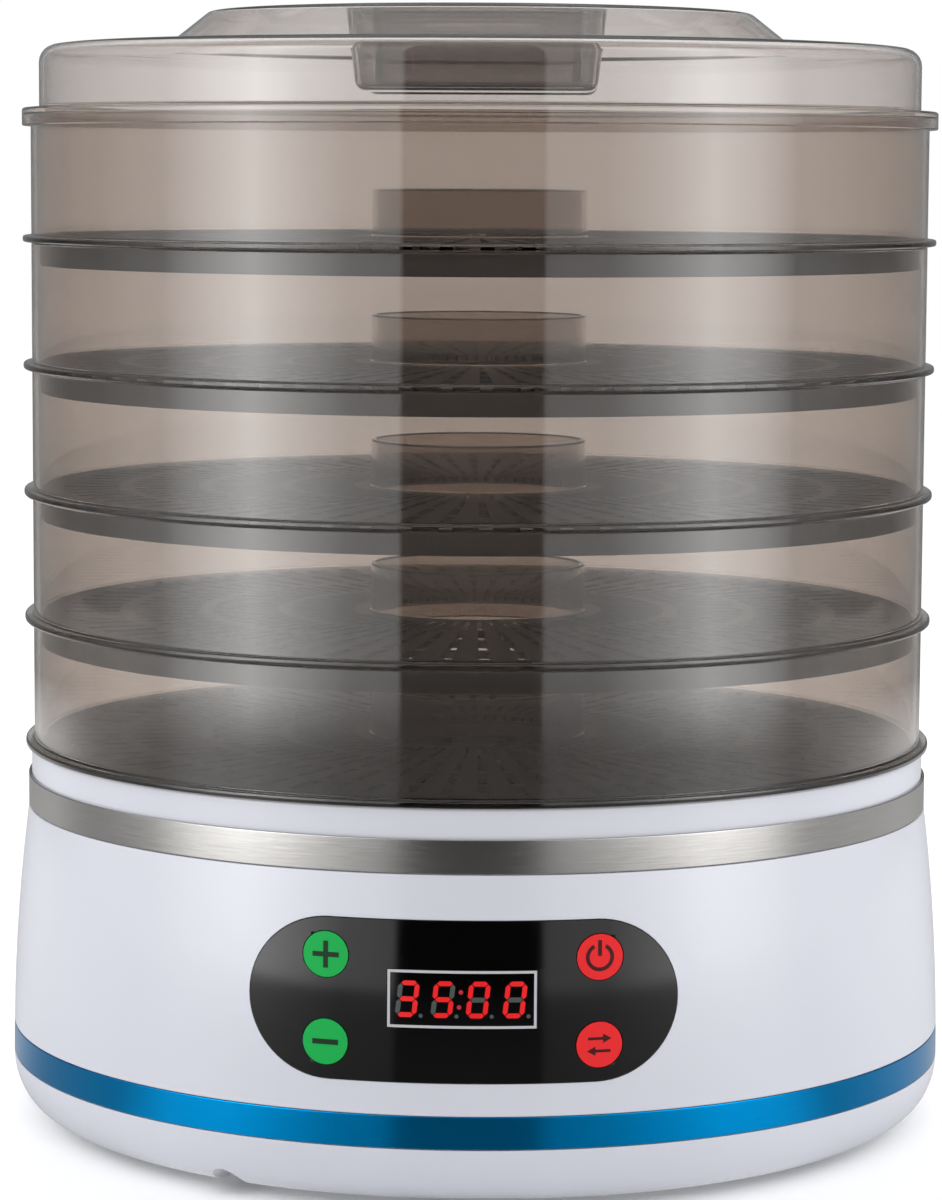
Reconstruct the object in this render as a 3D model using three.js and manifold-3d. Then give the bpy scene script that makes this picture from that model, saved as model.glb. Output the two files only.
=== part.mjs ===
// A round five-tray food dehydrator: a white base with a fan, a heater and a control panel, five
// stacked trays of smoked plastic with a central air chimney, and a lid with two finger pockets.
// Millimetres, +Z up. The origin is on the floor at the machine's axis, and the panel faces -Y.
import * as THREE from 'three';
import { mergeVertices } from 'three/addons/utils/BufferGeometryUtils.js';
import Module from 'manifold-3d';

const wasm = await Module();
wasm.setup();

// ---- Driving dimensions ----
const gap = 0.3; // clearance between pieces that touch
const turnSegments = 32; // sides of a large round piece
const smallSegments = 12; // sides of a small round piece

// Trays
const trayCount = 5;
const trayPitch = 44; // height that each tray adds to the stack
const rimRadius = 160;
const rimWidth = 3;
const rimThickness = 2.2;
const trayWall = 2;
const trayWallShortfall = 0.3; // from a wall's top to the next tray's rim
const skirtClearance = 0.8;
const skirtDepth = 8;
const chimneyRadius = 38;
const chimneyHeight = 18.6;
const chimneySpigot = 5;
const slotWidth = 4;
const slotRing = 5; // solid ring beside the chimney, between the slot rings and beside the skirt
const innerSlots = 6;
const outerSlots = 12;

// Lid
const lidClearance = 0.4;
const lidWall = 1.8;
const lidLap = 4; // how far the lid's flange covers the top tray
const lidStep = 3; // the lid's wall stands this far inside the tray wall
const lidLip = 2.6; // the flange's lip outside the tray wall
const lidFlange = 2.2;
const lidRise = 21.7; // flange to the lid's flat shoulder
const lidCorner = 6;
const domeRadius = 110;
const domeRise = 12;
const domeSlope = 13;
const domeCorner = 3.5;
const pocketWidth = 88;
const pocketDepth = 27.8;
const pocketLength = 44;
const pocketTaper = 3;
const pocketCorner = 9;
const gripWidth = 32; // the bar left between the two finger pockets
const ventWidth = 41;
const ventHeight = 2.8;
const ventDrop = 3;

// Base
const footHeight = 3;
const baseHeight = 131.3;
const baseFlare = 5.7; // the base's widest radius beyond the steel band
const baseCornerWidth = 14.8;
const baseWidestZ = 22;
const housingWall = 2.8;
const flareCurve = 2; // power of the flank's curve
const seatClearance = 1.4;
const seatWall = 2.4;
const seatDepth = 9.3;
const seatChamfer = 0.8;
const deckThickness = 2.5;
const collarShow = 9.8; // white collar above the steel band
const trimThickness = 0.8;
const bandHeight = 11;
const stripeHeight = 10.5;
const coverThickness = 2.5;
const lipWidth = 2.8; // ledge at the housing's bottom edge, beside the bottom cover
const notchRadius = 6;
const notchTurn = -29.4; // degrees from the front, towards -X
const screwInset = 12;
const screwTurn = THREE.MathUtils.degToRad(25); // from the X axis
const screwRadius = 1.5;
const screwHeadRadius = 3.4;
const screwLength = 12;
const postRadius = 4.5;
const footInset = 25.2; // from the cover's edge to a foot's centre
const footRadius = 8;
const footStud = 3;

// Control panel
const panelWidth = 137.4;
const panelHeight = 51.6;
const panelInset = 1.5;
const panelProud = 0.4;
const panelDrop = 1.7; // below the middle of the flank
const buttonRadius = 7.3;
const buttonSpreadX = 43.8;
const buttonSpreadZ = 14;
const buttonProud = 0.9;
const buttonFlange = 1.6;
const buttonFlangeThickness = 1.2;
const displayWidth = 46.2;
const displayHeight = 16.9;
const displayRaise = 1;
const lensMargin = 0.9;
const boardWidth = 104;
const boardHeight = 46;
const boardThickness = 1.6;
const switchSize = 6;
const switchDepth = 2;
const plungerRadius = 1.7;
const plungerLength = 0.6;
const buttonTravel = 0.8;
const stemRadius = 2.5;

// Fan, heater and duct
const ductRadius = 54;
const ductWall = 2;
const ductFlange = 8;
const ductBottomZ = 50;
const grilleThickness = 2;
const grilleLap = 4;
const grilleSlots = 12;
const grilleSlotWidth = 5;
const grilleHub = 12;
const motorRadius = 24;
const motorHeight = 27;
const endCapRadius = 11;
const endCapHeight = 4;
const bushingRadius = 5;
const bushingLength = 4;
const bracketThickness = 2;
const bracketArm = 12;
const bracketBore = 10;
const shaftRadius = 2;
const shaftLength = 30;
const shaftSeat = 11;
const hubRadius = 13;
const hubHeight = 11;
const hubLift = 2.5;
const nutRadius = 4.5;
const nutHeight = 3;
const bladeCount = 7;
const bladeReach = 47;
const bladeChord = 17;
const bladeThickness = 1.8;
const bladePitch = 35;
const heaterHeight = 24;
const heaterCard = 1;
const coilRadius = 36;
const coilThickness = 3;
const coilClearance = 0.6;
const thermostatRadius = 8;
const thermostatHeight = 7;
const fuseRadius = 2.2;
const fuseLength = 15;
const powerBoardWidth = 70;
const powerBoardDepth = 42;
const standoff = 5;
const intakeSlots = 12;
const intakeInner = 14;
const intakeOuter = 48;
const channelWidth = 13;
const channelHeight = 14;
const channelLength = 36;
const channelWall = 2;
const glandRadius = 4;
const glandBore = 3.2;
const glandFlange = 1.2;

// ---- Sizes that follow from them ----
const trayWallRadius = rimRadius - rimWidth;
const trayInnerRadius = trayWallRadius - trayWall;
const skirtRadius = trayInnerRadius - skirtClearance;
const seatInner = skirtRadius + seatClearance;
const seatOuter = seatInner + seatWall;
const bandInner = seatOuter + gap;
const bandOuter = bandInner + trimThickness;
const widestRadius = bandOuter + baseFlare;
const bandTopZ = baseHeight - collarShow;
const shoulderZ = bandTopZ - bandHeight - gap;
const deckTopZ = baseHeight - seatDepth;
const deckUnderZ = deckTopZ - deckThickness;
const stripeBottomZ = baseWidestZ + 0.5;
const stripeTopZ = stripeBottomZ + stripeHeight;
const lipInner = widestRadius - baseCornerWidth - lipWidth;
const coverTopZ = footHeight + gap + coverThickness;
const glandZ = coverTopZ + gap + glandRadius + glandFlange;
const panelZ = (stripeTopZ + shoulderZ) / 2 - panelDrop;
const firstRimZ = baseHeight + gap;
const lidSeatZ = firstRimZ + trayCount * trayPitch;

// ---- Materials ----
const finish = (color, roughness, metalness = 0) =>
  new THREE.MeshStandardMaterial({ color, roughness, metalness });
const smoked = finish(0x8f8683, 0.12);
smoked.transparent = true;
smoked.opacity = 0.45;
const white = finish(0xe9ebf0, 0.25);
const steel = finish(0xa9a7a3, 0.35, 1);
const blue = finish(0x0a7fb0, 0.3, 0.8);
const blackGloss = finish(0x0c0b0c, 0.12);
const green = finish(0x0aa34a, 0.4);
const red = finish(0xd83238, 0.4);
const board = finish(0x1e5a34, 0.6);
const darkPlastic = finish(0x242424, 0.5);
const paleMetal = finish(0xb5b5b8, 0.35, 1);
const brass = finish(0xb08d45, 0.35, 1);
const rubber = finish(0x2a2a2a, 0.9);
const mica = finish(0xb9a27c, 0.8);
const clear = finish(0x2a1416, 0.1);

// ---- Solids ----
const at = (r, z) => new THREE.Vector2(r, z);

function toSolid(geometry) {
  let merged = geometry;
  if (Object.keys(geometry.attributes).length > 1 || !geometry.index) {
    const loose = geometry.index ? geometry.toNonIndexed() : geometry;
    const bare = new THREE.BufferGeometry();
    bare.setAttribute('position', loose.getAttribute('position'));
    merged = mergeVertices(bare, 1e-3);
  }
  const vertProperties = merged.attributes.position.array;
  const triVerts = new Uint32Array(merged.index.array);
  return new wasm.Manifold(new wasm.Mesh({ numProp: 3, vertProperties, triVerts }));
}

function fromSolid(solid) {
  const mesh = solid.getMesh();
  const geometry = new THREE.BufferGeometry();
  geometry.setAttribute('position', new THREE.BufferAttribute(mesh.vertProperties, 3));
  geometry.setIndex(new THREE.BufferAttribute(mesh.triVerts, 1));
  return geometry;
}

const join = (...parts) => fromSolid(parts.map(toSolid).reduce((a, b) => a.add(b)));
const common = (a, b) => fromSolid(toSolid(a).intersect(toSolid(b)));

function cut(body, ...tools) {
  return fromSolid(tools.map(toSolid).reduce((a, b) => a.subtract(b), toSolid(body)));
}

// A closed outline of (radius, height) points, listed counterclockwise, turned about the Z axis.
function turned(outline, segments = turnSegments) {
  const closed = outline[0].x === 0 ? outline : [...outline, outline[0]];
  return new THREE.LatheGeometry(closed, segments).rotateX(Math.PI / 2);
}

function disc(radius, low, high, segments = smallSegments) {
  return turned([at(0, low), at(radius, low), at(radius, high), at(0, high)], segments);
}

function ring(inner, outer, low, high, segments = turnSegments) {
  return turned([at(inner, low), at(outer, low), at(outer, high), at(inner, high)], segments);
}

function block(low, high) {
  const [x0, y0, z0] = low;
  const [x1, y1, z1] = high;
  const box = new THREE.BoxGeometry(x1 - x0, y1 - y0, z1 - z0);
  return box.translate((x0 + x1) / 2, (y0 + y1) / 2, (z0 + z1) / 2);
}

// A round bar along Y at (x, z).
function barY(radius, x, z, y0, y1, segments = 24) {
  const bar = new THREE.CylinderGeometry(radius, radius, Math.abs(y1 - y0), segments);
  return bar.translate(x, (y0 + y1) / 2, z);
}

const onAxis = (geometry, x, y, z = 0) => geometry.translate(x, y, z);
const spun = (geometry, degrees) => geometry.rotateZ(THREE.MathUtils.degToRad(degrees));

// Radial slots cut as boxes, evenly round the axis.
function radialSlots(count, width, inner, outer, low, high) {
  const slots = [];
  for (let i = 0; i < count; i++) {
    const slot = block([inner, -width / 2, low], [outer, width / 2, high]);
    slots.push(spun(slot, (360 * (i + 0.5)) / count));
  }
  return slots;
}

// ---- The base's flank, which the control panel follows ----
function flankRadius(z) {
  const share = Math.max(0, z - baseWidestZ) / (shoulderZ - baseWidestZ);
  return widestRadius - baseFlare * share ** flareCurve;
}

// A ring that follows the flank, from `inset` inside it to `outset` outside it.
function flankBand(inset, outset) {
  const low = panelZ - panelHeight / 2 - 4;
  const high = panelZ + panelHeight / 2 + 4;
  const steps = 3;
  const outer = [];
  const inner = [];
  for (let i = 0; i <= steps; i++) {
    const z = low + ((high - low) * i) / steps;
    outer.push(at(flankRadius(z) + outset, z));
    inner.unshift(at(flankRadius(z) - inset, z));
  }
  return turned([...outer, ...inner]);
}

// A stadium outline in the XZ plane, run from the axis out through the front.
function stadiumPrism(width, height, z) {
  const r = height / 2;
  const x = width / 2 - r;
  const outline = new THREE.Shape();
  outline.absarc(x, 0, r, -Math.PI / 2, Math.PI / 2);
  outline.absarc(-x, 0, r, Math.PI / 2, (3 * Math.PI) / 2);
  const options = { depth: widestRadius + 20, bevelEnabled: false, curveSegments: 8 };
  return new THREE.ExtrudeGeometry(outline, options).rotateX(Math.PI / 2).translate(0, 0, z);
}

function windowPrism(width, height, z) {
  const front = -(widestRadius + 20);
  return block([-width / 2, front, z - height / 2], [width / 2, 0, z + height / 2]);
}

const displayZ = panelZ + displayRaise;
const buttons = [
  { name: 'plus_button', x: -buttonSpreadX, z: panelZ + buttonSpreadZ, material: green },
  { name: 'minus_button', x: -buttonSpreadX, z: panelZ - buttonSpreadZ, material: green },
  { name: 'power_button', x: buttonSpreadX, z: panelZ + buttonSpreadZ, material: red },
  { name: 'mode_button', x: buttonSpreadX, z: panelZ - buttonSpreadZ, material: red },
];
const lensWidth = displayWidth + 2 * lensMargin;
const lensHeight = displayHeight + 2 * lensMargin;
const buttonHole = (b) => barY(buttonRadius + gap, b.x, b.z, -(widestRadius + 20), 0);
const flangeReach = buttonRadius + buttonFlange;
const flangeBack = housingWall + gap + buttonFlangeThickness;
const facetSag = widestRadius * (1 - Math.cos(Math.PI / turnSegments));
const keyBackRadius = flankRadius(panelZ + buttonSpreadZ + flangeReach) - flangeBack;
const keyBackY = facetSag - Math.sqrt(keyBackRadius ** 2 - (buttonSpreadX + flangeReach) ** 2);
const switchTipY = keyBackY + buttonTravel + gap;
const boardFrontY = switchTipY + plungerLength + switchDepth + gap;

// ---- Trays and lid ----
function trayGeometry() {
  const inside = chimneyRadius - trayWall;
  const skirtInner = skirtRadius - trayWall;
  const wallTop = trayPitch - trayWallShortfall;
  const tray = turned([
    at(inside, -chimneySpigot),
    at(chimneyRadius, -chimneySpigot),
    at(chimneyRadius, 0),
    at(skirtInner, 0),
    at(skirtInner, -skirtDepth),
    at(skirtRadius, -skirtDepth),
    at(skirtRadius, 0),
    at(rimRadius, 0),
    at(rimRadius, rimThickness),
    at(trayWallRadius, rimThickness),
    at(trayWallRadius, wallTop),
    at(trayInnerRadius, wallTop),
    at(trayInnerRadius, rimThickness),
    at(chimneyRadius, rimThickness),
    at(chimneyRadius, chimneyHeight),
    at(inside, chimneyHeight),
  ]);
  const start = chimneyRadius + slotRing;
  const end = skirtInner - slotRing;
  const middle = start + (end - start) * 0.45;
  const low = -1;
  const high = rimThickness + 1;
  return cut(
    tray,
    ...radialSlots(innerSlots, slotWidth, start, middle - slotRing / 2, low, high),
    ...radialSlots(outerSlots, slotWidth, middle + slotRing / 2, end, low, high),
  );
}

// A tapered pocket with rounded corners, wider at its top, between the Y values given.
function pocketSolid(width, length, taper, low, high, centreY) {
  const outline = new THREE.Shape();
  const corner = pocketCorner;
  const x = width / 2 - corner;
  const y = length / 2 - corner;
  const quarter = Math.PI / 2;
  outline.absarc(x, y, corner, 0, quarter);
  outline.absarc(-x, y, corner, quarter, 2 * quarter);
  outline.absarc(-x, -y, corner, 2 * quarter, 3 * quarter);
  outline.absarc(x, -y, corner, 3 * quarter, 4 * quarter);
  const options = { depth: high - low, bevelEnabled: false, curveSegments: 2 };
  const pocket = new THREE.ExtrudeGeometry(outline, options);
  const position = pocket.attributes.position;
  for (let i = 0; i < position.count; i++) {
    const share = position.getZ(i) / (high - low);
    const scaleX = 1 - (2 * taper * (1 - share)) / width;
    const scaleY = 1 - (2 * taper * (1 - share)) / length;
    position.setXY(i, position.getX(i) * scaleX, position.getY(i) * scaleY);
  }
  return pocket.translate(0, centreY, low);
}

function lidGeometry() {
  const flangeInner = trayWallRadius + lidClearance;
  const flangeOuter = flangeInner + lidLip;
  const flangeTop = lidSeatZ + lidFlange;
  const outerWall = trayWallRadius - lidStep;
  const shoulder = flangeTop + lidRise;
  const top = shoulder + domeRise;
  const domeTopRadius = domeRadius - domeSlope;
  const bend = lidCorner * (1 - Math.SQRT1_2);
  const outer = [
    at(flangeInner, lidSeatZ - lidLap),
    at(flangeOuter, lidSeatZ - lidLap),
    at(flangeOuter, flangeTop - seatChamfer),
    at(flangeOuter - seatChamfer, flangeTop),
    at(outerWall, flangeTop),
    at(outerWall, shoulder - lidCorner),
    at(outerWall - bend, shoulder - bend),
    at(outerWall - lidCorner, shoulder),
    at(domeRadius, shoulder),
    at(domeTopRadius, top - domeCorner / 2),
    at(domeTopRadius - domeCorner, top),
    at(0, top),
  ];
  const inner = [
    at(0, top - lidWall),
    at(domeTopRadius - domeCorner - 1, top - lidWall),
    at(domeRadius - lidWall, shoulder - lidWall),
    at(outerWall - lidCorner, shoulder - lidWall),
    at(outerWall - lidWall, shoulder - lidCorner),
    at(outerWall - lidWall, lidSeatZ),
    at(flangeInner, lidSeatZ),
  ];
  const outline = [...outer, ...inner];
  const firstOnAxis = outer.length;
  const shell = turned([...outline.slice(firstOnAxis), ...outline.slice(0, firstOnAxis)]);
  const floorZ = top - pocketDepth;
  const centreY = (gripWidth + pocketLength) / 2;
  let lid = shell;
  for (const y of [-centreY, centreY]) {
    const body = pocketSolid(pocketWidth, pocketLength, pocketTaper, floorZ, top - 0.2, y);
    lid = join(lid, body);
  }
  for (const y of [-centreY, centreY]) {
    const width = pocketWidth - 2 * lidWall;
    const length = pocketLength - 2 * lidWall;
    lid = cut(lid, pocketSolid(width, length, pocketTaper, floorZ + lidWall, top + 1, y));
  }
  const ventTop = top - ventDrop;
  const reach = gripWidth / 2 + 12;
  const vent = block(
    [-ventWidth / 2, -reach, ventTop - ventHeight],
    [ventWidth / 2, reach, ventTop],
  );
  return cut(lid, vent);
}

// ---- Base housing and its trim ----
function housingGeometry() {
  const cornerR = widestRadius - baseCornerWidth;
  const flankSteps = [0.4, 0.7, 1];
  const grooveR = widestRadius - trimThickness - gap;
  const outer = [];
  for (let i = 0; i <= 3; i++) {
    const t = (Math.PI / 2) * (1 - i / 3);
    const drop = (baseWidestZ - footHeight) * Math.sin(t);
    outer.push(at(cornerR + baseCornerWidth * Math.cos(t), baseWidestZ - drop));
  }
  outer.push(at(widestRadius, stripeBottomZ - gap));
  outer.push(at(grooveR, stripeBottomZ - gap));
  outer.push(at(grooveR, stripeTopZ + gap));
  outer.push(at(flankRadius(stripeTopZ + gap), stripeTopZ + gap));
  const flankZ = (share) => stripeTopZ + (shoulderZ - stripeTopZ) * share;
  for (const share of flankSteps) outer.push(at(flankRadius(flankZ(share)), flankZ(share)));
  outer.push(at(seatOuter, shoulderZ));
  outer.push(at(seatOuter, baseHeight - seatChamfer));
  outer.push(at(seatOuter - seatChamfer, baseHeight));
  outer.push(at(seatInner, baseHeight));
  outer.push(at(seatInner, deckTopZ));
  outer.push(at(ductRadius, deckTopZ));
  outer.push(at(ductRadius, deckUnderZ));
  outer.push(at(seatOuter - housingWall, deckUnderZ));
  for (const share of [0.7, 0.4, 0]) {
    outer.push(at(flankRadius(flankZ(share)) - housingWall, flankZ(share)));
  }
  for (let i = 0; i <= 2; i++) {
    const t = ((Math.PI / 2) * i) / 2;
    const drop = (baseWidestZ - coverTopZ) * Math.sin(t);
    outer.push(at(cornerR + (baseCornerWidth - housingWall) * Math.cos(t), baseWidestZ - drop));
  }
  outer.push(at(lipInner, coverTopZ));
  outer.push(at(lipInner, footHeight));
  const shell = turned(outer);

  const posts = screwPlaces().map(([x, y]) =>
    onAxis(disc(postRadius, coverTopZ + gap, deckTopZ - 1), x, y),
  );
  const postHoles = screwPlaces().map(([x, y]) =>
    onAxis(disc(screwRadius + gap, 0, footHeight + screwLength + 3), x, y),
  );
  const recess = common(
    flankBand(panelInset + gap, 20),
    stadiumPrism(panelWidth + 2 * gap, panelHeight + 2 * gap, panelZ),
  );
  const opening = windowPrism(displayWidth + 2 * gap, displayHeight + 2 * gap, displayZ);
  const notchReach = [-(widestRadius + 5), -(lipInner - 5)];
  const notch = barY(notchRadius, 0, footHeight, ...notchReach, 16);
  const boardPosts = [-1, 1].map((side) => {
    const x = side * (boardWidth / 2 - 5);
    const wallY = -Math.sqrt((flankRadius(panelZ) - housingWall) ** 2 - x ** 2);
    return barY(2.6, x, panelZ, wallY - 0.6, boardFrontY - gap, smallSegments);
  });
  return cut(
    join(shell, ...posts, ...boardPosts),
    ...postHoles,
    recess,
    opening,
    ...buttons.map(buttonHole),
    spun(notch, notchTurn),
  );
}

function screwPlaces() {
  const r = lipInner - screwInset;
  const x = r * Math.cos(screwTurn);
  const y = r * Math.sin(screwTurn);
  return [[-x, -y], [x, -y], [x, y], [-x, y]];
}

function footPlaces() {
  const d = (lipInner - footInset) * Math.SQRT1_2;
  return [[-d, -d], [d, -d], [d, d], [-d, d]];
}

const boardCentreY = () => lipInner - screwInset - postRadius - 4 - powerBoardDepth / 2;

function standoffPlaces() {
  const x = powerBoardWidth / 2 - 4;
  const y = powerBoardDepth / 2 - 4;
  const centre = boardCentreY();
  return [[-x, centre - y], [x, centre - y], [x, centre + y], [-x, centre + y]];
}

function coverGeometry() {
  const low = footHeight + gap;
  const edge = lipInner - gap;
  const plate = disc(edge, low, coverTopZ, turnSegments);
  const standoffs = standoffPlaces().map(([x, y]) =>
    onAxis(disc(3, coverTopZ - 0.5, coverTopZ + standoff, 8), x, y),
  );
  const half = channelWidth / 2;
  const start = -(edge - channelLength);
  const roof = footHeight + gap + channelHeight;
  const wall = channelWall;
  const far = -(edge - 2.5);
  const channel = block([-half - wall, far, low], [half + wall, start + wall, roof + wall]);
  const channelRoom = block([-half, -edge - 5, low - 5], [half, start, roof]);
  const glandHole = barY(glandRadius + gap, 0, glandZ, start - 5, start + 5, 16);
  const headLow = low - gap;
  const head = (r) => [
    at(0, headLow - 1),
    at(r + gap, headLow - 1),
    at(r + gap, headLow),
    at(screwRadius + gap, coverTopZ),
    at(screwRadius + gap, coverTopZ + 1),
    at(0, coverTopZ + 1),
  ];
  const screwHoles = screwPlaces().map(([x, y]) =>
    onAxis(turned(head(screwHeadRadius), smallSegments), x, y),
  );
  const footHoles = footPlaces().map(([x, y]) =>
    onAxis(disc(footStud + gap, low - 1, coverTopZ + 1), x, y),
  );
  return cut(
    join(plate, ...standoffs, spun(channel, notchTurn)),
    spun(channelRoom, notchTurn),
    spun(glandHole, notchTurn),
    ...screwHoles,
    ...footHoles,
    ...radialSlots(intakeSlots, 4, intakeInner, intakeOuter, low - 1, coverTopZ + 1),
  );
}

// A cord gland about the Y axis, with a flange on each side of the channel's end wall.
function glandGeometry() {
  const wallStart = -(lipInner - gap - channelLength);
  const wide = glandRadius + glandFlange;
  const outline = [
    at(glandBore, -3),
    at(wide, -3),
    at(wide, -gap),
    at(glandRadius, -gap),
    at(glandRadius, channelWall + gap),
    at(wide, channelWall + gap),
    at(wide, channelWall + gap + 3),
    at(glandBore, channelWall + gap + 3),
  ];
  const gland = turned(outline, 16).rotateX(-Math.PI / 2);
  return spun(gland.translate(0, wallStart, glandZ), notchTurn);
}

function screwGeometry() {
  const low = footHeight + gap;
  return turned(
    [
      at(0, low),
      at(screwHeadRadius, low),
      at(screwRadius, coverTopZ - gap),
      at(screwRadius, low + screwLength),
      at(0, low + screwLength),
    ],
    smallSegments,
  );
}

function footGeometry() {
  return turned(
    [
      at(0, 0),
      at(footRadius - 0.6, 0),
      at(footRadius, 0.6),
      at(footRadius - 0.3, footHeight),
      at(footStud, footHeight),
      at(footStud, coverTopZ + 1.5),
      at(0, coverTopZ + 1.5),
    ],
    16,
  );
}

// ---- Control panel ----
function panelGeometry() {
  const skin = common(
    flankBand(panelInset, panelProud),
    stadiumPrism(panelWidth, panelHeight, panelZ),
  );
  const opening = windowPrism(lensWidth + 2 * gap, lensHeight + 2 * gap, displayZ);
  return cut(skin, opening, ...buttons.map(buttonHole));
}

function lensGeometry() {
  return common(flankBand(panelInset, panelProud), windowPrism(lensWidth, lensHeight, displayZ));
}

function buttonGeometry({ x, z }) {
  const front = -(widestRadius + 20);
  const cap = common(flankBand(flangeBack, buttonProud), barY(buttonRadius, x, z, front, 0, 20));
  const flange = common(
    flankBand(flangeBack, -(housingWall + gap)),
    barY(flangeReach, x, z, front, 0, 20),
  );
  const stemEnd = switchTipY - buttonTravel - gap;
  const backY = -Math.sqrt((flankRadius(z) - flangeBack) ** 2 - x ** 2);
  const stem = barY(stemRadius, x, z, backY - 2, stemEnd, smallSegments);
  return join(cap, flange, stem);
}

function switchGeometry({ x, z }) {
  const half = switchSize / 2;
  const back = boardFrontY - gap;
  const body = block([x - half, back - switchDepth, z - half], [x + half, back, z + half]);
  return join(body, barY(plungerRadius, x, z, switchTipY, back - 1, smallSegments));
}

// ---- Fan, heater and duct ----
const bracketTopZ = ductBottomZ - gap;
const motorTopZ = bracketTopZ - bracketThickness - gap;
const motorBottomZ = motorTopZ - motorHeight;
const hubBottomZ = ductBottomZ + hubLift;
const heaterZ = (hubBottomZ + hubHeight + deckUnderZ) / 2;

function grilleGeometry() {
  const low = deckTopZ + gap;
  const lap = disc(ductRadius + grilleLap, low, low + grilleThickness, turnSegments);
  const spigot = disc(ductRadius - gap, deckTopZ - 1, low + 0.5, turnSegments);
  const outer = ductRadius - 5;
  const slots = radialSlots(grilleSlots, grilleSlotWidth, grilleHub + 6, outer, deckTopZ - 3, low + 5);
  return cut(join(lap, spigot), ...slots);
}

function ductGeometry() {
  const inner = ductRadius - ductWall;
  return turned([
    at(inner, ductBottomZ),
    at(ductRadius + ductFlange, ductBottomZ),
    at(ductRadius + ductFlange, ductBottomZ + ductWall),
    at(ductRadius, ductBottomZ + ductWall),
    at(ductRadius, deckUnderZ - gap),
    at(inner, deckUnderZ - gap),
  ], 24);
}

function bracketGeometry() {
  const low = bracketTopZ - bracketThickness;
  const hub = ring(bracketBore, motorRadius + 2, low, bracketTopZ, 24);
  const reach = ductRadius + ductFlange;
  const arms = [90, 210, 330].map((turn) => {
    const arm = block([motorRadius - 2, -bracketArm / 2, low], [reach, bracketArm / 2, bracketTopZ]);
    return spun(arm, turn);
  });
  return join(hub, ...arms);
}

function motorGeometry() {
  const body = disc(motorRadius, motorBottomZ, motorTopZ, 24);
  const seat = disc(shaftRadius + gap, motorTopZ - shaftSeat - gap, motorTopZ + 1);
  const bushingSeat = disc(bushingRadius + gap, motorTopZ - bushingLength - gap, motorTopZ + 1, 16);
  const cap = disc(endCapRadius, motorBottomZ - endCapHeight, motorBottomZ + 1, 16);
  return cut(join(body, cap), seat, bushingSeat);
}

function impellerGeometry() {
  const hub = disc(hubRadius, hubBottomZ, hubBottomZ + hubHeight, 20);
  const blades = [];
  for (let i = 0; i < bladeCount; i++) {
    const reach = bladeReach - hubRadius + 2;
    const blade = new THREE.BoxGeometry(reach, bladeChord, bladeThickness);
    blade.rotateX(THREE.MathUtils.degToRad(bladePitch));
    blade.translate(hubRadius - 2 + reach / 2, 0, hubBottomZ + hubHeight / 2);
    blades.push(spun(blade, (360 * i) / bladeCount));
  }
  const bore = disc(shaftRadius + gap, hubBottomZ - 1, hubBottomZ + hubHeight + 1);
  return cut(join(hub, ...blades), bore);
}

function coilGeometry(thickness) {
  const outline = [];
  const sides = 8;
  for (let i = 0; i < sides; i++) {
    const t = (2 * Math.PI * i) / sides;
    outline.push(at(coilRadius + thickness * Math.cos(t), heaterZ + thickness * Math.sin(t)));
  }
  return turned(outline, 24);
}

function heaterFrameGeometry() {
  const half = ductRadius - ductWall - 2;
  const low = heaterZ - heaterHeight / 2;
  const high = heaterZ + heaterHeight / 2;
  const along = block([-half, -heaterCard / 2, low], [half, heaterCard / 2, high]);
  const across = block([-heaterCard / 2, -half, low], [heaterCard / 2, half, high]);
  return cut(join(along, across), coilGeometry(coilThickness + coilClearance));
}

// ---- Assembly ----
const dehydrator = new THREE.Group();

function add(name, geometry, material, place = [0, 0, 0]) {
  const loose = geometry.index ? geometry.toNonIndexed() : geometry;
  loose.computeVertexNormals();
  const mesh = new THREE.Mesh(loose, material);
  mesh.name = name;
  mesh.position.set(...place);
  dehydrator.add(mesh);
  return mesh;
}

function addBaseShells() {
  const grooveInner = widestRadius - trimThickness;
  add('base_housing', housingGeometry(), white);
  add('bottom_cover', coverGeometry(), white);
  add('steel_band', ring(bandInner, bandOuter, bandTopZ - bandHeight, bandTopZ), steel);
  add('blue_stripe', ring(grooveInner, widestRadius, stripeBottomZ, stripeTopZ), blue);
  add('outlet_grille', grilleGeometry(), darkPlastic);
  add('cord_gland', glandGeometry(), rubber);
  screwPlaces().forEach(([x, y], i) => {
    add(`cover_screw_${i + 1}`, screwGeometry(), paleMetal, [x, y, 0]);
  });
  footPlaces().forEach(([x, y], i) => {
    add(`rubber_foot_${i + 1}`, footGeometry(), rubber, [x, y, 0]);
  });
}

function addControls() {
  add('control_panel', panelGeometry(), blackGloss);
  add('display_lens', lensGeometry(), clear);
  const lensBackY = -(flankRadius(displayZ + displayHeight / 2) - panelInset);
  const moduleFrontY = -Math.sqrt(lensBackY ** 2 - (displayWidth / 2) ** 2) + gap + 0.3;
  const half = [displayWidth / 2, displayHeight / 2];
  const ledModule = block(
    [-half[0], moduleFrontY, displayZ - half[1]],
    [half[0], boardFrontY - gap, displayZ + half[1]],
  );
  add('led_display', ledModule, darkPlastic);
  const controlBoard = block(
    [-boardWidth / 2, boardFrontY, panelZ - boardHeight / 2],
    [boardWidth / 2, boardFrontY + boardThickness, panelZ + boardHeight / 2],
  );
  add('control_board', controlBoard, board);
  for (const button of buttons) {
    add(button.name, buttonGeometry(button), button.material);
    add(button.name.replace('button', 'switch'), switchGeometry(button), darkPlastic);
  }
}

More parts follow.
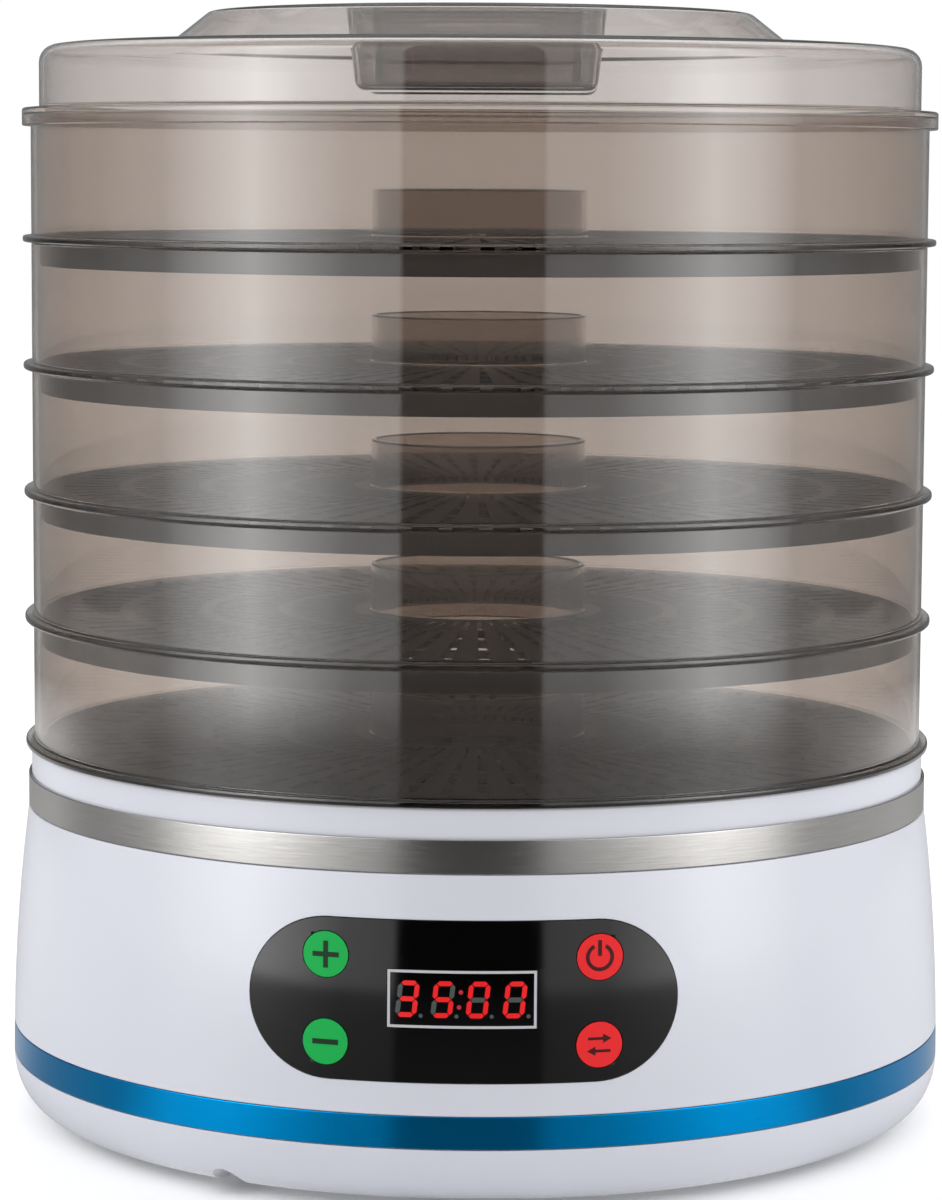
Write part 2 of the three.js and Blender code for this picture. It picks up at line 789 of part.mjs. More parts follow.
function addAirPath() {
  add('air_duct', ductGeometry(), paleMetal);
  add('motor_bracket', bracketGeometry(), paleMetal);
  add('fan_motor', motorGeometry(), darkPlastic);
  const shaftLow = motorTopZ - shaftSeat;
  add('motor_shaft', disc(shaftRadius, shaftLow, shaftLow + shaftLength), paleMetal);
  const bushing = [shaftRadius + gap, bushingRadius, motorTopZ - bushingLength, motorTopZ];
  add('motor_bushing', ring(...bushing, 16), brass);
  add('fan_impeller', impellerGeometry(), darkPlastic);
  const nutLow = hubBottomZ + hubHeight + gap;
  add('fan_nut', ring(shaftRadius + gap, nutRadius, nutLow, nutLow + nutHeight, 6), brass);
  add('heater_coil', coilGeometry(coilThickness), steel);
  add('heater_frame', heaterFrameGeometry(), mica);
  const thermostatZ = deckUnderZ - gap - thermostatHeight;
  const thermostat = disc(thermostatRadius, 0, thermostatHeight, 20);
  const beside = ductRadius + thermostatRadius + 4;
  add('thermostat', thermostat, paleMetal, [beside, 0, thermostatZ]);
  const fuse = disc(fuseRadius, 0, fuseLength);
  add('thermal_fuse', fuse, paleMetal, [0, ductRadius + fuseRadius + 0.5, heaterZ - fuseLength / 2]);
}

function addPowerBoard() {
  const low = coverTopZ + standoff + gap;
  const y = boardCentreY();
  const halfX = powerBoardWidth / 2;
  const halfY = powerBoardDepth / 2;
  const plate = block([-halfX, y - halfY, low], [halfX, y + halfY, low + boardThickness]);
  add('power_board', plate, board);
  const top = low + boardThickness + gap;
  add('relay', block([-24, y - 8, top], [-5, y + 8, top + 15]), blue);
  add('filter_capacitor', block([6, y - 5, top], [24, y + 5, top + 13]), mica);
}

function addStack() {
  for (let i = 0; i < trayCount; i++) {
    add(`tray_${i + 1}`, trayGeometry(), smoked, [0, 0, firstRimZ + i * trayPitch]);
  }
  add('lid', lidGeometry(), smoked);
}

addBaseShells();
addControls();
addAirPath();
addPowerBoard();
addStack();

export default dehydrator;
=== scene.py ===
import math

import bmesh
import bpy
from mathutils import Matrix, Vector


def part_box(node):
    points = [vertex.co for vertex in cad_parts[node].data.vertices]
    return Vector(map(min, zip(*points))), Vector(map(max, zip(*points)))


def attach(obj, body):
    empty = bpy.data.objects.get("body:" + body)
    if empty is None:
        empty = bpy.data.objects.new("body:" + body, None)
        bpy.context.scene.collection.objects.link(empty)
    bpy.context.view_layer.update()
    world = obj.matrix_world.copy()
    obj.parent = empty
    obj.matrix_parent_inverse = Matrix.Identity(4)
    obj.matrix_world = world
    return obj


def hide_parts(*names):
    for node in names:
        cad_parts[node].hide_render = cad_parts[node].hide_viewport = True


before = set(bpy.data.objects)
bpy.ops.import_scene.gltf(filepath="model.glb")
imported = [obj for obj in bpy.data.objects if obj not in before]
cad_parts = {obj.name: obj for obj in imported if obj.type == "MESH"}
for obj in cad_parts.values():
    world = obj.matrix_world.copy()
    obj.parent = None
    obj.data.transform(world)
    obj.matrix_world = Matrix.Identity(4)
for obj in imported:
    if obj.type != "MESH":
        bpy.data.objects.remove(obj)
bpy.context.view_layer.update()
mm = 0.001
fullTurn = 2 * math.pi
weld = 0.003 * mm  # vertices closer than this become one
print("frame loaded:", len(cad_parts), "nodes")


# small tools for modelling

def clearSelection():
    if bpy.context.mode != "OBJECT":
        bpy.ops.object.mode_set(mode="OBJECT")
    bpy.ops.object.select_all(action="DESELECT")


def pick(piece):
    clearSelection()
    piece.select_set(True)
    bpy.context.view_layer.objects.active = piece


def editAll(piece):
    pick(piece)
    bpy.ops.object.mode_set(mode="EDIT")
    bpy.ops.mesh.select_all(action="SELECT")


# selects by place: test gets a vertex's place or the middle of a face
def choose(piece, kind, test):
    bpy.ops.mesh.select_mode(type=kind)
    bpy.ops.mesh.select_all(action="DESELECT")
    net = bmesh.from_edit_mesh(piece.data)
    parts = net.verts if kind == "VERT" else net.faces
    for part in parts:
        if test(part.co if kind == "VERT" else part.calc_center_median()):
            part.select_set(True)
    net.select_flush_mode()
    bmesh.update_edit_mesh(piece.data)


def cleanUp(piece):
    editAll(piece)
    bpy.ops.mesh.remove_doubles(threshold=weld)
    bpy.ops.mesh.normals_make_consistent(inside=False)
    bpy.ops.object.mode_set(mode="OBJECT")


def settle(piece):
    pick(piece)
    bpy.ops.object.transform_apply(location=True, rotation=True, scale=True)


def applyModifier(piece, kind, **settings):
    clearSelection()
    pick(piece)
    modifier = piece.modifiers.new(kind.lower(), kind)
    for key, value in settings.items():
        setattr(modifier, key, value)
    bpy.ops.object.modifier_apply(modifier=modifier.name)


# large faces keep their own direction and only the small edges between them are blended
def smooth(piece, degrees=32):
    pick(piece)
    bpy.ops.object.shade_smooth_by_angle(angle=math.radians(degrees))
    applyModifier(piece, "WEIGHTED_NORMAL", mode="FACE_AREA", weight=50, keep_sharp=True)


def combine(piece, tool, operation, keepTool=False):
    applyModifier(piece, "BOOLEAN", operation=operation, object=tool, solver="EXACT")
    if not keepTool:
        bpy.data.objects.remove(tool)


def softenEdges(piece, width, degrees=40, segments=2):
    applyModifier(piece, "BEVEL", width=width * mm, segments=segments,
                  limit_method="ANGLE", angle_limit=math.radians(degrees))


# corners are (radius, height, rounding) in mm, listed counterclockwise
def rounded(corners, cuts=4):
    path = []
    for i, (r, z, rounding) in enumerate(corners):
        here = Vector((r, z)) * mm
        if rounding == 0:
            path.append(here)
            continue
        before = Vector(corners[i - 1][:2]) * mm
        after = Vector(corners[(i + 1) % len(corners)][:2]) * mm
        toBefore = (before - here).normalized()
        toAfter = (after - here).normalized()
        half = toBefore.angle(toAfter) / 2
        centre = here + (toBefore + toAfter).normalized() * (rounding * mm / math.sin(half))
        reach = rounding * mm / math.tan(half)
        start = here + toBefore * reach - centre
        end = here + toAfter * reach - centre
        sweep = math.pi - 2 * half
        for k in range(cuts + 1):
            t = k / cuts
            spoke = start * math.sin((1 - t) * sweep) + end * math.sin(t * sweep)
            path.append(centre + spoke / math.sin(sweep))
    return path


# a vertex extruded along the path in the XZ plane
def drawn(name, path, closed=True):
    clearSelection()
    bpy.ops.mesh.primitive_plane_add(size=mm)
    piece = bpy.context.object
    piece.name = name
    bpy.ops.object.mode_set(mode="EDIT")
    bpy.ops.mesh.select_mode(type="VERT")
    bpy.ops.mesh.merge(type="CENTER")
    bpy.ops.transform.translate(value=(path[0].x, 0, path[0].y))
    for a, b in zip(path, path[1:]):
        step = {"value": (b.x - a.x, 0, b.y - a.y)}
        bpy.ops.mesh.extrude_vertices_move(TRANSFORM_OT_translate=step)
    if closed:
        net = bmesh.from_edit_mesh(piece.data)
        for v in net.verts:
            v.select_set(len(v.link_edges) == 1)
        bmesh.update_edit_mesh(piece.data)
        bpy.ops.mesh.edge_face_add()
    bpy.ops.mesh.select_all(action="SELECT")
    return piece


def spin(steps, degrees=360, copies=False):
    bpy.ops.mesh.spin(steps=steps, angle=math.radians(degrees), dupli=copies,
                      center=(0, 0, 0), axis=(0, 0, 1))


def turned(name, path, steps=192, closed=True):
    piece = drawn(name, path, closed)
    spin(steps)
    cleanUp(piece)
    return piece


def copyOf(piece, name, move=(0, 0, 0)):
    pick(piece)
    bpy.ops.object.duplicate()
    twin = bpy.context.object
    twin.name = name
    twin.location = Vector(move)
    settle(twin)
    return twin


def block(name, low, high):
    clearSelection()
    centre = [(a + b) / 2 * mm for a, b in zip(low, high)]
    bpy.ops.mesh.primitive_cube_add(size=1, location=centre)
    piece = bpy.context.object
    piece.name = name
    piece.scale = [(b - a) * mm for a, b in zip(low, high)]
    settle(piece)
    return piece


# a round bar from front to back
def rod(name, radius, centre, length, sides=64):
    clearSelection()
    bpy.ops.mesh.primitive_cylinder_add(vertices=sides, radius=radius * mm, depth=length * mm,
                                        location=Vector(centre) * mm,
                                        rotation=(math.pi / 2, 0, 0))
    piece = bpy.context.object
    piece.name = name
    settle(piece)
    return piece


def joined(name, pieces):
    clearSelection()
    for piece in pieces:
        piece.select_set(True)
    bpy.context.view_layer.objects.active = pieces[0]
    bpy.ops.object.join()
    pieces[0].name = name
    return pieces[0]


def polar(co):
    return math.hypot(co.x, co.y) / mm


# materials

class Wire:
    def __init__(self, finish, socket):
        self.finish = finish
        self.socket = socket

    def join(self, operation, first, second):
        return self.finish.node("ShaderNodeMath", {"operation": operation}, first, second)

    def __add__(self, other):
        return self.join("ADD", self, other)

    def __sub__(self, other):
        return self.join("SUBTRACT", self, other)

    def __mul__(self, other):
        return self.join("MULTIPLY", self, other)

    def __rsub__(self, other):
        return self.join("SUBTRACT", other, self)

    __rmul__ = __mul__


class Graph:
    def __init__(self, tree):
        self.tree = tree

    def feed(self, socket, value):
        if isinstance(value, Wire):
            self.tree.links.new(value.socket, socket)
        else:
            socket.default_value = value

    def node(self, kind, settings, *values, out=0):
        node = self.tree.nodes.new(kind)
        for key, value in settings.items():
            if key == "stops":
                ramp = node.color_ramp
                while len(ramp.elements) < len(value):
                    ramp.elements.new(1.0)
                for element, (place, colour) in zip(ramp.elements, value):
                    element.position = place
                    element.color = colour
            else:
                setattr(node, key, value)
        for i, value in enumerate(values):
            if isinstance(value, dict):
                for key, item in value.items():
                    self.feed(node.inputs[key], item)
            else:
                self.feed(node.inputs[i], value)
        return Wire(self, node.outputs[out]) if len(node.outputs) else None

    def outs(self, kind, *values):
        node = self.tree.nodes.new(kind)
        for i, value in enumerate(values):
            self.feed(node.inputs[i], value)
        return [Wire(self, socket) for socket in node.outputs]


objectSocket = 3  # of the texture coordinate node


class Finish(Graph):
    def __init__(self, name):
        self.material = bpy.data.materials.new(name)
        self.material.use_nodes = True
        super().__init__(self.material.node_tree)
        self.shader = self.tree.nodes["Principled BSDF"]

    def place(self, scale=(1, 1, 1)):
        spot = self.node("ShaderNodeTexCoord", {}, out=objectSocket)
        return self.node("ShaderNodeMapping", {}, {"Vector": spot, "Scale": scale})

    def noise(self, spot, size, detail=3):
        return self.node("ShaderNodeTexNoise", {},
                         {"Vector": spot, "Scale": 1 / size, "Detail": detail})

    def blend(self, share, first, second):
        colours = {6: (*first, 1), 7: (*second, 1)}
        node = self.tree.nodes.new("ShaderNodeMix")
        node.data_type = "RGBA"
        self.feed(node.inputs[0], share)
        for i, colour in colours.items():
            node.inputs[i].default_value = colour
        return Wire(self, node.outputs[2])

    def bump(self, height, strength, distance):
        return self.node("ShaderNodeBump", {},
                         {"Strength": strength, "Distance": distance * mm, "Height": height})

    def set(self, **values):
        for key, value in values.items():
            self.feed(self.shader.inputs[key.replace("_", " ")], value)
        return self


# plastics, rubbers and boards: a colour that drifts a little, a fine grain, uneven gloss
def mouldedFinish(name, colour, roughness, metal=0, grain=0.9, depth=0.02, drift=0.06):
    f = Finish(name)
    spot = f.place()
    cloud = f.noise(spot, 0.04)
    pores = f.noise(spot, grain * mm, 2)
    darker = [c * (1 - drift) for c in colour]
    lighter = [min(1, c * (1 + drift)) for c in colour]
    f.set(Base_Color=f.blend(cloud, darker, lighter), Metallic=metal)
    f.set(Roughness=cloud * 0.08 + pores * 0.05 + (roughness - 0.065))
    f.set(Normal=f.bump(pores, 0.25, depth))
    return f


print("materials")
whiteShell = mouldedFinish("white_gloss_shell", (0.58, 0.59, 0.65), 0.24, grain=1.4,
                           depth=0.006, drift=0.012)
whiteShell.set(Coat_Weight=0.1, Coat_Roughness=0.06)


# a tint on each surface; the clear kinds have a gloss coat, the dull ones hardly bend light
def smokedFinish(name, darker, lighter, roughness, ior, coat):
    f = Finish(name)
    spot = f.place()
    cloud = f.noise(spot, 0.05)
    ripple = f.noise(spot, 0.018, 1)
    f.set(Base_Color=f.blend(cloud, darker, lighter))
    f.set(Roughness=cloud * 0.02 + roughness, Transmission_Weight=1.0, IOR=ior)
    f.set(Coat_Weight=coat, Coat_IOR=1.5, Coat_Roughness=0.02)
    f.set(Normal=f.bump(ripple, 0.08, 0.05))
    return f


clear = {"roughness": 0.01, "ior": 1.25, "coat": 1.0}
dull = {"roughness": 0.3, "ior": 1.04, "coat": 0.0}
smokedWall = smokedFinish("smoked_wall", (0.548, 0.488, 0.447), (0.572, 0.512, 0.469), **clear)
smokedCover = smokedFinish("smoked_cover", (0.705, 0.67, 0.65), (0.73, 0.695, 0.675), **clear)
# painted shade: the lid's handle pockets are a darker copy of the same smoked plastic
smokedPocketPaintedShade = smokedFinish("smoked_pocket_painted_shade", (0.41, 0.375, 0.35), (0.43, 0.395, 0.37), **clear)
# painted shade: light runs level through floors and skirts, so they look darker than the
# walls; their smoked tint is painted much darker for that, and their edge faces darker still
smokedFloorPaintedShade = smokedFinish("smoked_floor_painted_shade", (0.12, 0.108, 0.10), (0.145, 0.132, 0.124), **dull)
smokedEdgePaintedShade = smokedFinish("smoked_edge_painted_shade", (0.035, 0.031, 0.028), (0.05, 0.045, 0.042), **dull)


# brushed round the band, so its streaks run level
def brushedFinish():
    f = Finish("brushed_steel")
    streak = f.noise(f.place((1, 1, 60)), 0.012, 5)
    fine = f.noise(f.place((1, 1, 220)), 0.02, 4)
    f.set(Base_Color=f.blend(streak, (0.375, 0.364, 0.349), (0.51, 0.499, 0.487)))
    f.set(Metallic=1.0, Roughness=streak * 0.10 + fine * 0.08 + 0.14)
    f.set(Normal=f.bump(fine, 0.35, 0.02))
    return f


brushedSteel = brushedFinish()


def foilFinish():
    f = Finish("blue_foil")
    fleck = f.noise(f.place((1, 1, 40)), 0.01, 4)
    f.set(Base_Color=f.blend(fleck, (0.0005, 0.245, 0.60), (0.0008, 0.31, 0.71)))
    f.set(Metallic=1.0, Roughness=fleck * 0.08 + 0.16)
    f.set(Normal=f.bump(fleck, 0.2, 0.01))
    return f


blueFoil = foilFinish()


def filmFinish():
    f = Finish("black_film")
    smear = f.noise(f.place((1, 1, 3)), 0.03, 4)
    f.set(Base_Color=f.blend(smear, (0.0012, 0.001, 0.001), (0.002, 0.0018, 0.0018)))
    f.set(Roughness=smear * 0.05 + 0.05, Specular_IOR_Level=0.4)
    f.set(Normal=f.bump(smear, 0.05, 0.01))
    return f


blackFilm = filmFinish()


def glowFinish(name, colour, strength):
    f = Finish(name)
    cloud = f.noise(f.place(), 1.2 * mm, 2)
    hot = f.blend(cloud, [c * 0.85 for c in colour], colour)
    f.set(Base_Color=(0.05, 0.004, 0.004, 1), Roughness=cloud * 0.05 + 0.28)
    f.set(Emission_Color=hot, Emission_Strength=strength)
    return f


litSegment = glowFinish("segment_lit", (0.80, 0.006, 0.008), 1.0)
colonDot = glowFinish("colon_lit", (0.48, 0.02, 0.035), 0.9)
unlitSegment = mouldedFinish("segment_unlit", (0.055, 0.065, 0.065), 0.4, grain=0.5,
                             depth=0.004)
framePrint = mouldedFinish("white_print", (0.46, 0.46, 0.49), 0.4, grain=0.5, depth=0.004)
greenKey = mouldedFinish("green_key", (0.003, 0.36, 0.062), 0.38, grain=0.5, depth=0.01)
redKey = mouldedFinish("red_key", (0.72, 0.016, 0.019), 0.38, grain=0.5, depth=0.01)
greenPrint = mouldedFinish("dark_green_print", (0.002, 0.022, 0.006), 0.45, grain=0.5,
                           depth=0.004)
redPrint = mouldedFinish("dark_red_print", (0.045, 0.003, 0.004), 0.45, grain=0.5, depth=0.004)
for finish in (greenKey, redKey, greenPrint, redPrint):
    finish.set(Specular_IOR_Level=0.2)
blackPlastic = mouldedFinish("black_plastic", (0.018, 0.018, 0.019), 0.48, grain=0.7,
                             depth=0.03)
rubberFinish = mouldedFinish("grey_rubber", (0.035, 0.035, 0.036), 0.85, grain=0.6, depth=0.05)
platedMetal = mouldedFinish("plated_metal", (0.58, 0.58, 0.59), 0.32, metal=1.0, grain=1.2,
                            depth=0.01)
heaterMetal = mouldedFinish("heater_sheath", (0.30, 0.275, 0.25), 0.42, metal=1.0, grain=0.8,
                            drift=0.2)
brassFinish = mouldedFinish("brass", (0.60, 0.43, 0.16), 0.28, metal=1.0, grain=0.6,
                            depth=0.01)
boardFinish = mouldedFinish("board_lacquer", (0.012, 0.10, 0.035), 0.35, grain=1.5, drift=0.15)
micaFinish = mouldedFinish("mica_sheet", (0.46, 0.35, 0.19), 0.6, grain=2.0, depth=0.04,
                           drift=0.25)
relayFinish = mouldedFinish("relay_case", (0.02, 0.09, 0.33), 0.3, grain=0.8, depth=0.01)


def wear(piece, finish, body):
    piece.data.materials.clear()
    piece.data.materials.append(finish.material)
    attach(piece, body)


# a second finish on the faces that pass the test
def paint(piece, finish, test):
    piece.data.materials.append(finish.material)
    editAll(piece)
    choose(piece, "FACE", test)
    piece.active_material_index = len(piece.data.materials) - 1
    bpy.ops.object.material_slot_assign()
    bpy.ops.object.mode_set(mode="OBJECT")


# camera, floor and light

shot = {
    "lens": 117.9,
    "distance": 1391,
    "height": 333,
    "pitch": 6.24,
    "side": 1.5,  # degrees towards +X
    "aim": 0.095,  # degrees left of the axis
    "roll": 0.3,
}


def placeCamera():
    clearSelection()
    side = math.radians(shot["side"])
    reach = shot["distance"] * mm
    bpy.ops.object.camera_add(location=(reach * math.sin(side), -reach * math.cos(side),
                                        shot["height"] * mm))
    camera = bpy.context.object
    turn = Matrix.Rotation(side + math.radians(shot["aim"]), 4, "Z")
    tilt = Matrix.Rotation(math.radians(90 - shot["pitch"]), 4, "X")
    roll = Matrix.Rotation(math.radians(shot["roll"]), 4, "Z")
    camera.rotation_euler = (turn @ tilt @ roll).to_euler()
    camera.data.lens = shot["lens"]
    camera.data.sensor_width = 36
    camera.data.dof.use_dof = False
    bpy.context.scene.camera = camera


# what gloss sees round the object, as (bearing, level): a dark card in front, a soft lamp
# on each side of it and a dimmer room behind; low pieces see the near fan, high ones the far
studio = {
    "floor": 12.0,  # metres across
    "pole": 0.085,  # the floor's pattern fans out from this far in front of the axis
    "overhead": 0.9,
    "nearFan": [
        (-175, 0.45), (-150, 0.5), (-128, 0.9), (-110, 0.5), (-86, 0.55), (-72, 1.7),
        (-58, 1.8), (-44, 1.1), (-32, 0.6), (-19.2, 0.5), (-18.6, 0.0), (16.3, 0.0),
        (16.9, 0.45), (32, 0.65), (46, 1.1), (60, 1.75), (74, 1.6), (86, 0.6), (110, 0.9),
        (128, 0.9), (150, 0.5), (175, 0.45),
    ],
    "farFan": [
        (-175, 0.2), (-150, 0.15), (-128, 0.1), (-110, 0.3), (-86, 1.2), (-72, 3.6),
        (-58, 6.0), (-44, 3.6), (-32, 1.8), (-19.2, 1.45), (-18.6, 0.0), (16.3, 0.0),
        (16.9, 1.2), (32, 1.4), (46, 3.0), (60, 5.2), (74, 3.4), (86, 1.0), (110, 0.3),
        (128, 0.1), (150, 0.15), (175, 0.2),
    ],
    "fanTop": 8,
    "farStart": 1.1,  # metres from the pole
    "farBlend": 0.25,
    "footLevel": 0.28,  # the pattern fades to this near the pole
    "lampBearing": 106,
    "lampPower": 10,
    "lampDistance": 1.5,
    "lampHeight": 0.6,
    "lampSize": (0.9, 1.2),
    "lampAim": 0.15,
}


def fanLevel(g, bearing, fan):
    share = bearing * (1 / fullTurn) + 0.5 - math.radians(shot["side"]) / fullTurn
    top = studio["fanTop"]
    stops = [((a + 180) / 360, (v / top, v / top, v / top, 1)) for a, v in studio[fan]]
    return g.node("ShaderNodeValToRGB", {"stops": stops}, share) * top


def clamped(wire):
    return wire.join("MINIMUM", wire.join("MAXIMUM", wire, 0.0), 1.0)


def glossOnly(g):
    path = g.tree.nodes.new("ShaderNodeLightPath")
    glossy = Wire(g, path.outputs["Is Glossy Ray"])
    through = Wire(g, path.outputs["Is Transmission Ray"])
    return glossy * (1 - through)


def placeFloor():
    clearSelection()
    bpy.ops.mesh.primitive_plane_add(size=studio["floor"])
    floor = bpy.context.object
    floor.name = "studio_floor"
    pale = mouldedFinish("floor_paper", (0.93, 0.93, 0.93), 0.9, grain=4, drift=0.004)
    pale.set(Emission_Color=(1, 1, 1, 1), Emission_Strength=0.1)
    x, y, z = pale.outs("ShaderNodeSeparateXYZ", pale.outs("ShaderNodeTexCoord")[objectSocket])
    ahead = -1 * y - studio["pole"]
    reach = x.join("SQRT", x * x + ahead * ahead, 0.0)
    lift = clamped(reach * 0.5 + 0.3)
    bearing = x.join("ARCTAN2", x, ahead)
    far = clamped((reach - studio["farStart"]) * (1 / studio["farBlend"]))
    near = fanLevel(pale, bearing, "nearFan") * (1 - far)
    glow = near + fanLevel(pale, bearing, "farFan") * far
    level = glow * lift + (1 - lift) * studio["footLevel"]
    light = pale.node("ShaderNodeEmission", {}, {"Strength": level})
    paper = Wire(pale, pale.shader.outputs[0])
    both = pale.node("ShaderNodeMixShader", {}, glossOnly(pale), paper, light)
    pale.feed(pale.tree.nodes["Material Output"].inputs["Surface"], both)
    floor.data.materials.append(pale.material)


def placeLamps():
    for side in (-1, 1):
        turn = math.radians(side * studio["lampBearing"] + shot["side"])
        out = studio["lampDistance"]
        place = Vector((out * math.sin(turn), -out * math.cos(turn), studio["lampHeight"]))
        clearSelection()
        bpy.ops.object.light_add(type="AREA", location=place)
        lamp = bpy.context.object
        lamp.name = "side_lamp"
        lamp.data.shape = "RECTANGLE"
        lamp.data.size, lamp.data.size_y = studio["lampSize"]
        lamp.data.energy = studio["lampPower"]
        aim = Vector((0, 0, studio["lampAim"])) - place
        lamp.rotation_euler = aim.to_track_quat("-Z", "Y").to_euler()
        lamp.visible_camera = False
        lamp.visible_glossy = False
        lamp.visible_transmission = False


def placeWorld():
    world = bpy.data.worlds.new("studio_air")
    bpy.context.scene.world = world
    world.use_nodes = True
    g = Graph(world.node_tree)
    x, y, z = g.outs("ShaderNodeSeparateXYZ", g.outs("ShaderNodeTexCoord")[0])
    up = clamped(z * 3 - 1.5)
    fan = fanLevel(g, x.join("ARCTAN2", x, -1 * y), "farFan")
    level = fan * (1 - up) + up * studio["overhead"]
    gloss = glossOnly(g)
    air = world.node_tree.nodes["Background"]
    air.inputs["Color"].default_value = (1, 1, 1, 1)
    g.feed(air.inputs["Strength"], level * gloss + (1 - gloss))
    scene = bpy.context.scene
    scene.view_settings.view_transform = "Standard"
    scene.cycles.max_bounces = 24
    scene.cycles.transmission_bounces = 24
    scene.cycles.transparent_max_bounces = 16


print("camera and studio")
placeCamera()
placeFloor()
placeLamps()
placeWorld()


# base housing

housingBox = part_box("base_housing")
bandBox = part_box("steel_band")
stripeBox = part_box("blue_stripe")
base = {
    "bottomZ": housingBox[0].z / mm,
    "topZ": housingBox[1].z / mm,
    "widestR": housingBox[1].x / mm,
    "widestZ": stripeBox[0].z / mm - 0.5,
    "bandR": bandBox[1].x / mm,
    "shoulderZ": bandBox[0].z / mm - 0.3,
    "stripeLow": stripeBox[0].z / mm,
    "stripeHigh": stripeBox[1].z / mm,
    "cornerWidth": 14.8,
    "lip": 2.8,
    "wall": 2.8,
    "collarR": 158.0,
    "seatR": 155.6,
    "deckZ": 122.0,
    "deckThickness": 2.5,
    "coverThickness": 2.8,
    "outletR": 54.0,
    "gap": 0.3,
    "trim": 0.8,
}
panel = {
    "width": 137.4,
    "height": 51.6,
    "z": (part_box("control_panel")[0].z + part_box("control_panel")[1].z) / 2 / mm,
    "proud": 0.35,
    "inset": 1.5,
    "lensWidth": 48.0,
    "lensHeight": 18.7,
    "displayZ": (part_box("display_lens")[0].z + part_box("display_lens")[1].z) / 2 / mm,
    "recessDepth": 0.3,
    "windowWidth": 46.8,
    "windowHeight": 17.5,
    "windowY": (-175, -130),
    "holeY": -150,
    "holeLength": 50,
    "clearance": 0.3,  # round the panel and the keys
    "keyR": 7.3,
    "keyProud": 0.9,
    "keyDepth": 4.2,
    "markProud": 0.05,
    "stemR": 2.5,
    "stemLength": 6,
}
notch = {"radius": 6, "reach": 157, "length": 30, "bearing": -29.4}
keys = {}
for name in ("plus_button", "minus_button", "power_button", "mode_button"):
    low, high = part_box(name)
    keys[name] = ((low.x + high.x) / 2 / mm, (low.z + high.z) / 2 / mm)


def flankR(z):
    share = max(0, z - base["widestZ"]) / (base["shoulderZ"] - base["widestZ"])
    return base["widestR"] - (base["widestR"] - base["bandR"]) * share ** 2


def housingProfile():
    cornerR = base["widestR"] - base["cornerWidth"]
    grooveR = base["widestR"] - base["trim"] - base["gap"]
    coverTop = base["bottomZ"] + base["coverThickness"]
    path = rounded([
        (cornerR - base["lip"], coverTop, 0),
        (cornerR - base["lip"], base["bottomZ"], 0.4),
        (cornerR, base["bottomZ"], 0),
    ])
    for i in range(1, 17):
        t = math.pi / 2 * i / 16
        rise = (base["widestZ"] - base["bottomZ"]) * (1 - math.cos(t))
        spread = base["cornerWidth"] * math.sin(t)
        path.append(Vector((cornerR + spread, base["bottomZ"] + rise)) * mm)
    low = base["stripeLow"] - base["gap"]
    high = base["stripeHigh"] + base["gap"]
    path += rounded([
        (base["widestR"], base["widestZ"] + 0.05, 0),
        (base["widestR"], low, 0.1),
        (grooveR, low, 0),
        (grooveR, high, 0),
        (flankR(high), high, 0.15),
        (flankR(high + 1), high + 1, 0),
    ], 2)
    for i in range(2, 31):
        z = high + (base["shoulderZ"] - 1.2 - high) * i / 30
        path.append(Vector((flankR(z), z)) * mm)
    inner = base["collarR"] - base["wall"]
    path += rounded([
        (flankR(base["shoulderZ"] - 1), base["shoulderZ"] - 1, 0),
        (base["bandR"], base["shoulderZ"], 0.35),
        (base["collarR"], base["shoulderZ"], 0.1),
        (base["collarR"], base["topZ"], 0.9),
        (base["seatR"], base["topZ"], 0.6),
        (base["seatR"], base["deckZ"], 0.8),
        (base["outletR"], base["deckZ"], 0.4),
        (base["outletR"], base["deckZ"] - base["deckThickness"], 0),
        (inner, base["deckZ"] - base["deckThickness"], 0),
    ], 3)
    for i in range(7):
        z = base["shoulderZ"] + (base["widestZ"] - base["shoulderZ"]) * i / 6
        r = flankR(z) - base["wall"]
        path.append(Vector((min(inner, r) if i == 0 else r, z)) * mm)
    for i in range(1, 9):
        t = math.pi / 2 * i / 8
        drop = (base["widestZ"] - coverTop) * math.sin(t)
        spread = (base["cornerWidth"] - base["wall"]) * math.cos(t)
        path.append(Vector((cornerR + spread, base["widestZ"] - drop)) * mm)
    return path


# flat shapes wrapped onto the flank

front = -200.0  # where flat shapes are drawn before they are wrapped
stepBack = 20  # and how much further out they are projected from


def arc(x, z, radius, start, end, cuts):
    turns = [math.radians(start + (end - start) * i / cuts) for i in range(cuts + 1)]
    return [(x + radius * math.cos(t), z + radius * math.sin(t)) for t in turns]


def stadium(width, height, z, cuts=32):
    r = height / 2
    x = width / 2 - r
    return arc(x, z, r, -90, 90, cuts) + arc(-x, z, r, 90, 270, cuts)


def rectangle(width, height, x, z):
    a = width / 2
    b = height / 2
    return [(x - a, z - b), (x + a, z - b), (x + a, z + b), (x - a, z + b)]


def prism(name, outline, thickness=10):
    piece = drawn(name, [Vector(p) * mm for p in outline])
    bpy.ops.mesh.edge_face_add()
    bpy.ops.transform.translate(value=(0, front * mm, 0))
    move = {"value": (0, thickness * mm, 0)}
    bpy.ops.mesh.extrude_region_move(TRANSFORM_OT_translate=move)
    cleanUp(piece)
    return piece


def flankGuide():
    reach = panel["height"] / 2 + 5
    heights = [panel["z"] - reach + 2 * reach * i / 30 for i in range(31)]
    path = [Vector((flankR(z), z)) * mm for z in heights]
    return turned("flank_guide", path, 720, closed=False)


def selectGroup(piece, group):
    editAll(piece)
    bpy.ops.mesh.select_mode(type="VERT")
    bpy.ops.mesh.select_all(action="DESELECT")
    bpy.ops.object.vertex_group_set_active(group=group)
    bpy.ops.object.vertex_group_select()


